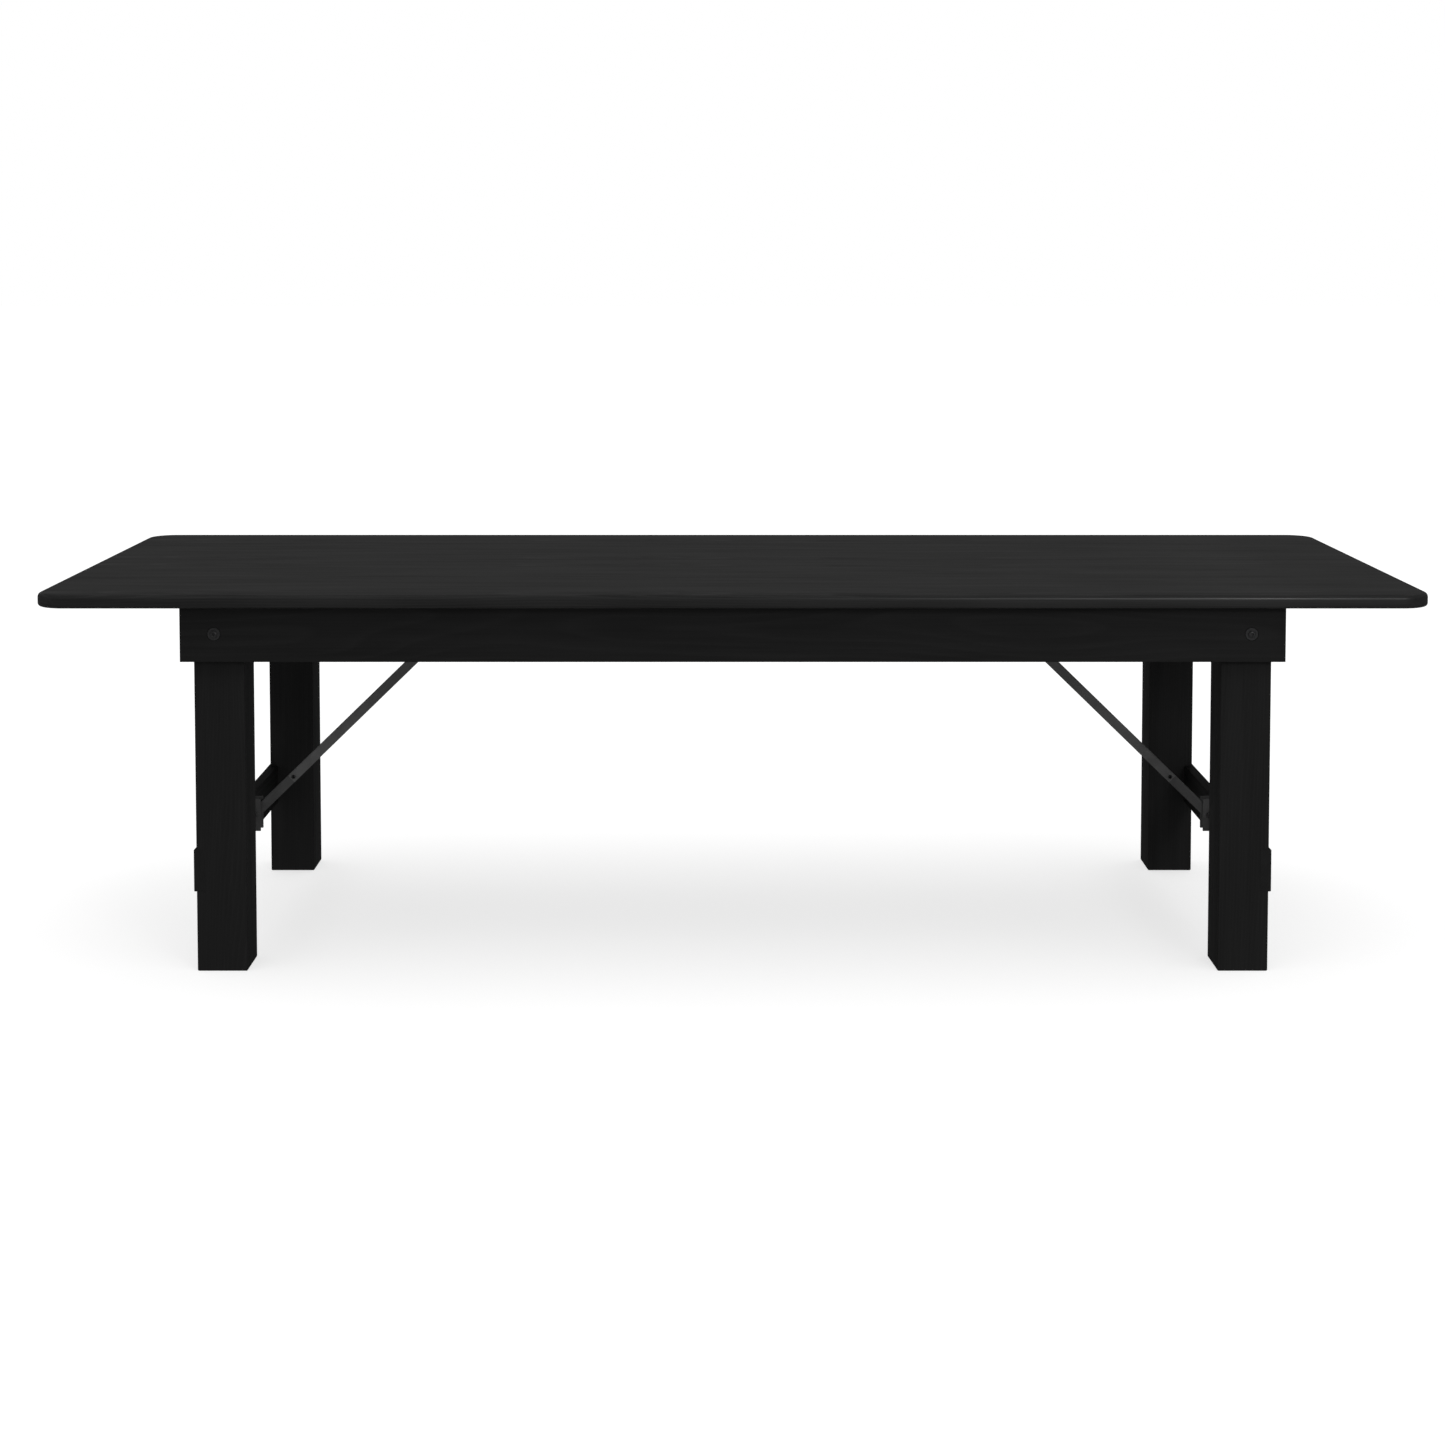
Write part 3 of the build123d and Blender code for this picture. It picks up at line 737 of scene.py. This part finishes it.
def brace():
    """The short lower link and the long bar, whose fork straddles the link at the knee."""
    half = BRACE_HEIGHT / 2
    tail, fork = 7 * MM, 40 * MM
    link_length, bar_length = (knee - link_pivot).length, (shoe_pivot - knee).length
    link_width, bar_width = 2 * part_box("lower_link_right")[1].y, 2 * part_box("brace_bar_right")[1].y
    link = channel(-half, link_length + half, link_width, True)
    link = cut(link, cross_hole(PIN_RADIUS, 0), cross_hole(RIVET_RADIUS, link_length))
    pair("link_channel", placed(link, along_brace(link_pivot)), coat, "lower_link", ease=0.25 * MM)
    bar = channel(-tail, bar_length + half, bar_width, False)
    inside = bar_width / 2 - PLATE
    bar = cut(bar, block((-tail - PAST, -inside, 0), (fork, inside, half + PAST)))
    bar = cut(bar, cross_hole(RIVET_RADIUS, 0), cross_hole(PIN_RADIUS, bar_length))
    # the bar takes the copy of the coat that is painted paler for light
    pair("bar_channel", placed(bar, along_brace(knee)), lit_bar_coat, "brace_bar", ease=0.25 * MM)


def knee_rivet():
    """A tubular rivet, its ends rolled over outside the bar."""
    head, height, bore, depth = 4.4 * MM, 2.2 * MM, 2.6 * MM, 7 * MM
    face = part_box("brace_bar_right")[1].y
    top = face + height
    hollow = [(0, top - depth), (0.7 * bore, top - depth), (bore, top - 0.2 * height)]
    lip = [(1.25 * bore, top), (0.85 * head, top - 0.1 * height), (head, face + 0.35 * height)]
    upper = hollow + lip + [(head, face), (RIVET_RADIUS, face)]
    lower = [(radius, -y) for radius, y in reversed(upper)]
    rivet = placed(turned(upper + lower, sides=36), set_at(knee, (0, 1, 0)))
    pair("knee_tube_rivet", rivet, oxide, "knee_rivet", ease=0.1 * MM)


# ---- bracket on the stretcher ------------------------------------------------------------------
def bracket():
    """A U of folded plate with its base on the stretcher and a hole through both cheeks."""
    plate, bend = 2.5 * MM, 3 * MM
    low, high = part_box("brace_bracket_right")
    bm = block(low, high)
    rounded(bm, edges_along(bm, Y, lambda middle: middle.x < low.x + NEAR), ARRIS, steps=3)
    rounded(bm, edges_along(bm, Z, lambda middle: middle.x > high.x - NEAR), bend, steps=6)
    hollow = block((low.x - PAST, low.y + plate, low.z - PAST),
                   (high.x - plate, high.y - plate, high.z + PAST))
    rounded(hollow, edges_along(hollow, Z, lambda middle: middle.x > low.x), bend - plate, steps=3)
    bm = cut(bm, hollow)
    bm = cut(bm, placed(cross_hole(PIN_RADIUS, 0), Matrix.Translation(link_pivot)))
    places = bracket_screw_places()
    bm = cut(bm, seats(places, BRACKET_SCREW[HEAD], plate + PAST))
    pair("bracket_plate", bm, coat, "brace_bracket", ease=0.3 * MM)
    screws = placed(wood_screw(*BRACKET_SCREW), *places)
    pair("bracket_screw_set", screws, oxide, "bracket_screws", ease=SCREW_EASE)


def link_bolt():
    """A hexagon bolt through both cheeks of the bracket, and its nut."""
    across, head_height, nut_height = 13 * MM, 5.3 * MM, 6.8 * MM
    past_nut, tip = 1.5 * MM, 0.8 * MM
    cheek = Vector((0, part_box("brace_bracket_right")[1].y, 0))
    length = 2 * cheek.y + nut_height + past_nut
    shank = turned([(0, tip), (PIN_RADIUS, tip), (PIN_RADIUS, tip - length),
                    (PIN_RADIUS - tip, -length), (0, -length)], sides=36)
    bolt = combined(hexagon_blank(across, head_height, False), shank, "UNION")
    bolt = placed(bolt, set_at(link_pivot - cheek, (0, -1, 0)))
    pair("link_hexagon_bolt", bolt, oxide, "link_bolt", ease=0.1 * MM)
    one_nut = placed(nut(across, nut_height, PIN_RADIUS), set_at(link_pivot + cheek, (0, 1, 0)))
    pair("link_hexagon_nut", one_nut, oxide, "link_nut", ease=0.1 * MM)


# ---- shoe --------------------------------------------------------------------------------------
def shoe():
    """A moulded saddle over the bar's upper end, with lightening pockets in its sides."""
    slot_gap, roof_gap, corner = 0.4 * MM, 1 * MM, 1.5 * MM
    pocket_depth, rib = 0.9 * MM, 3 * MM
    low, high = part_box("slide_shoe_right")
    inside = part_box("brace_bar_right")[1].y + slot_gap
    roof = shoe_pivot.z + BRACE_HEIGHT / 2 + roof_gap
    bm = block(low, high)
    rounded(bm, edges_along(bm, Z), corner, steps=4)
    bm = cut(bm, block((low.x - PAST, -inside, low.z - PAST), (high.x + PAST, inside, roof)))
    boss = PIN_RADIUS + rib
    pockets = []
    for near, far in ((low.x + rib, shoe_pivot.x - boss), (shoe_pivot.x + boss, high.x - rib)):
        one = block((near, low.y - PAST, low.z + rib), (far, low.y + pocket_depth, high.z - rib))
        pockets += [one, flipped(one, Y)]
    bm = cut(bm, *pockets)
    bm = cut(bm, placed(cross_hole(PIN_RADIUS, 0), Matrix.Translation(shoe_pivot)))
    pair("slide_saddle", bm, nylon, "slide_shoe", ease=0.4 * MM)


def shoe_pin():
    chamfer = 0.8 * MM
    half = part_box("shoe_pin_right")[1].y
    pin = turned([(0, half), (PIN_RADIUS - chamfer, half), (PIN_RADIUS, half - chamfer),
                  (PIN_RADIUS, chamfer - half), (PIN_RADIUS - chamfer, -half), (0, -half)], sides=36)
    pair("saddle_pin", placed(pin, set_at(shoe_pivot, (0, 1, 0))), zinc, "shoe_pin", ease=0.1 * MM)


def carried_over():
    """CAD nodes whose shape is already right: dowels, bushes and spacers."""
    for name, node in frame["nodes"].items():
        if node.hide_render:
            continue
        finish = {"zinc_steel": zinc, "dowel_wood": beech}[slot_of[name]]
        for material_slot in node.material_slots:
            material_slot.material = finish


top_boards()
skirt()
batten()
guides()
legs()
stretchers()
pivot_hardware()
brace()
knee_rivet()
bracket()
link_bolt()
shoe()
shoe_pin()
carried_over()


# ---- floor, light and camera -------------------------------------------------------------------
ROOM_SEEN, ROOM_FELT, ROOM_MIRRORED = 1.0, 0.58, 0.075    # to the eye, as light, and in gloss
SUN_POWER, SUN_SPREAD = 1.9, math.radians(90)
SOFTBOX_POWER, SOFTBOX_WIDTH, SOFTBOX_HEIGHT = 45, 1.4, 0.9
SOFTBOX_AT, SOFTBOX_AIM = (2.3, -5.4, 2.5), (0.3, 0, 0.7)
CAMERA_AT = (-0.0201, -5.1435, 1.4285)
CAMERA_DOWN = math.radians(3.244)
CAMERA_LENS, CAMERA_SENSOR, CAMERA_SHIFT = 59.58, 36.0, -0.23
WHITE = "#ffffff"


def floor():
    """A wide pale floor that takes a soft shadow. It lights nothing, so that black stays black."""
    reach = 60.0
    bm = bmesh.new()
    bmesh.ops.create_grid(bm, x_segments=1, y_segments=1, size=reach)
    obj = as_object("floor", bm)
    material, _, shader, _ = start("pale_floor", Roughness=0.9, Specular_IOR_Level=0.0,
                                   Emission_Strength=0.68)
    shader.inputs["Base Color"].default_value = srgb("#a4a4a4")
    shader.inputs["Emission Color"].default_value = srgb(WHITE)
    obj.data.materials.append(material)
    obj.visible_diffuse = False
    obj.visible_glossy = False


def lamp(name, kind, at, aim, energy, glossy, **settings):
    data = bpy.data.lights.new(name, kind)
    data.energy = energy
    for key, value in settings.items():
        setattr(data, key, value)
    obj = bpy.data.objects.new(name, data)
    obj.location = at
    obj.rotation_euler = (Vector(aim) - Vector(at)).to_track_quat("-Z", "Y").to_euler()
    obj.visible_glossy = glossy
    bpy.context.scene.collection.objects.link(obj)


def studio():
    """An even white room that shows dimly in gloss, a soft light above and a softbox in front."""
    world = bpy.data.worlds.new("studio")
    world.use_nodes = True
    tree = world.node_tree
    tree.nodes.clear()
    ray = add(tree, "ShaderNodeLightPath", {}, {}).outputs
    seen, felt, mirrored = [
        add(tree, "ShaderNodeBackground", {}, {"Color": srgb(WHITE), "Strength": strength}).outputs[0]
        for strength in (ROOM_SEEN, ROOM_FELT, ROOM_MIRRORED)]
    lit = add(tree, "ShaderNodeMixShader", {}, {0: ray["Is Glossy Ray"], 1: felt, 2: mirrored})
    room = add(tree, "ShaderNodeMixShader", {}, {0: ray["Is Camera Ray"], 1: lit.outputs[0], 2: seen})
    add(tree, "ShaderNodeOutputWorld", {}, {"Surface": room.outputs[0]})
    bpy.context.scene.world = world
    bpy.context.scene.view_settings.view_transform = "Standard"
    lamp("overhead", "SUN", at=(0, 0, 6), aim=(0, 0, 0), energy=SUN_POWER, glossy=False,
         angle=SUN_SPREAD)
    lamp("softbox", "AREA", at=SOFTBOX_AT, aim=SOFTBOX_AIM, energy=SOFTBOX_POWER, glossy=True,
         shape="RECTANGLE", size=SOFTBOX_WIDTH, size_y=SOFTBOX_HEIGHT)


def camera():
    data = bpy.data.cameras.new("camera")
    data.sensor_width = CAMERA_SENSOR
    data.lens = CAMERA_LENS
    data.shift_y = CAMERA_SHIFT
    obj = bpy.data.objects.new("camera", data)
    obj.location = CAMERA_AT
    obj.rotation_euler = (math.pi / 2 - CAMERA_DOWN, 0, 0)
    bpy.context.scene.collection.objects.link(obj)
    bpy.context.scene.camera = obj


floor()
studio()
camera()
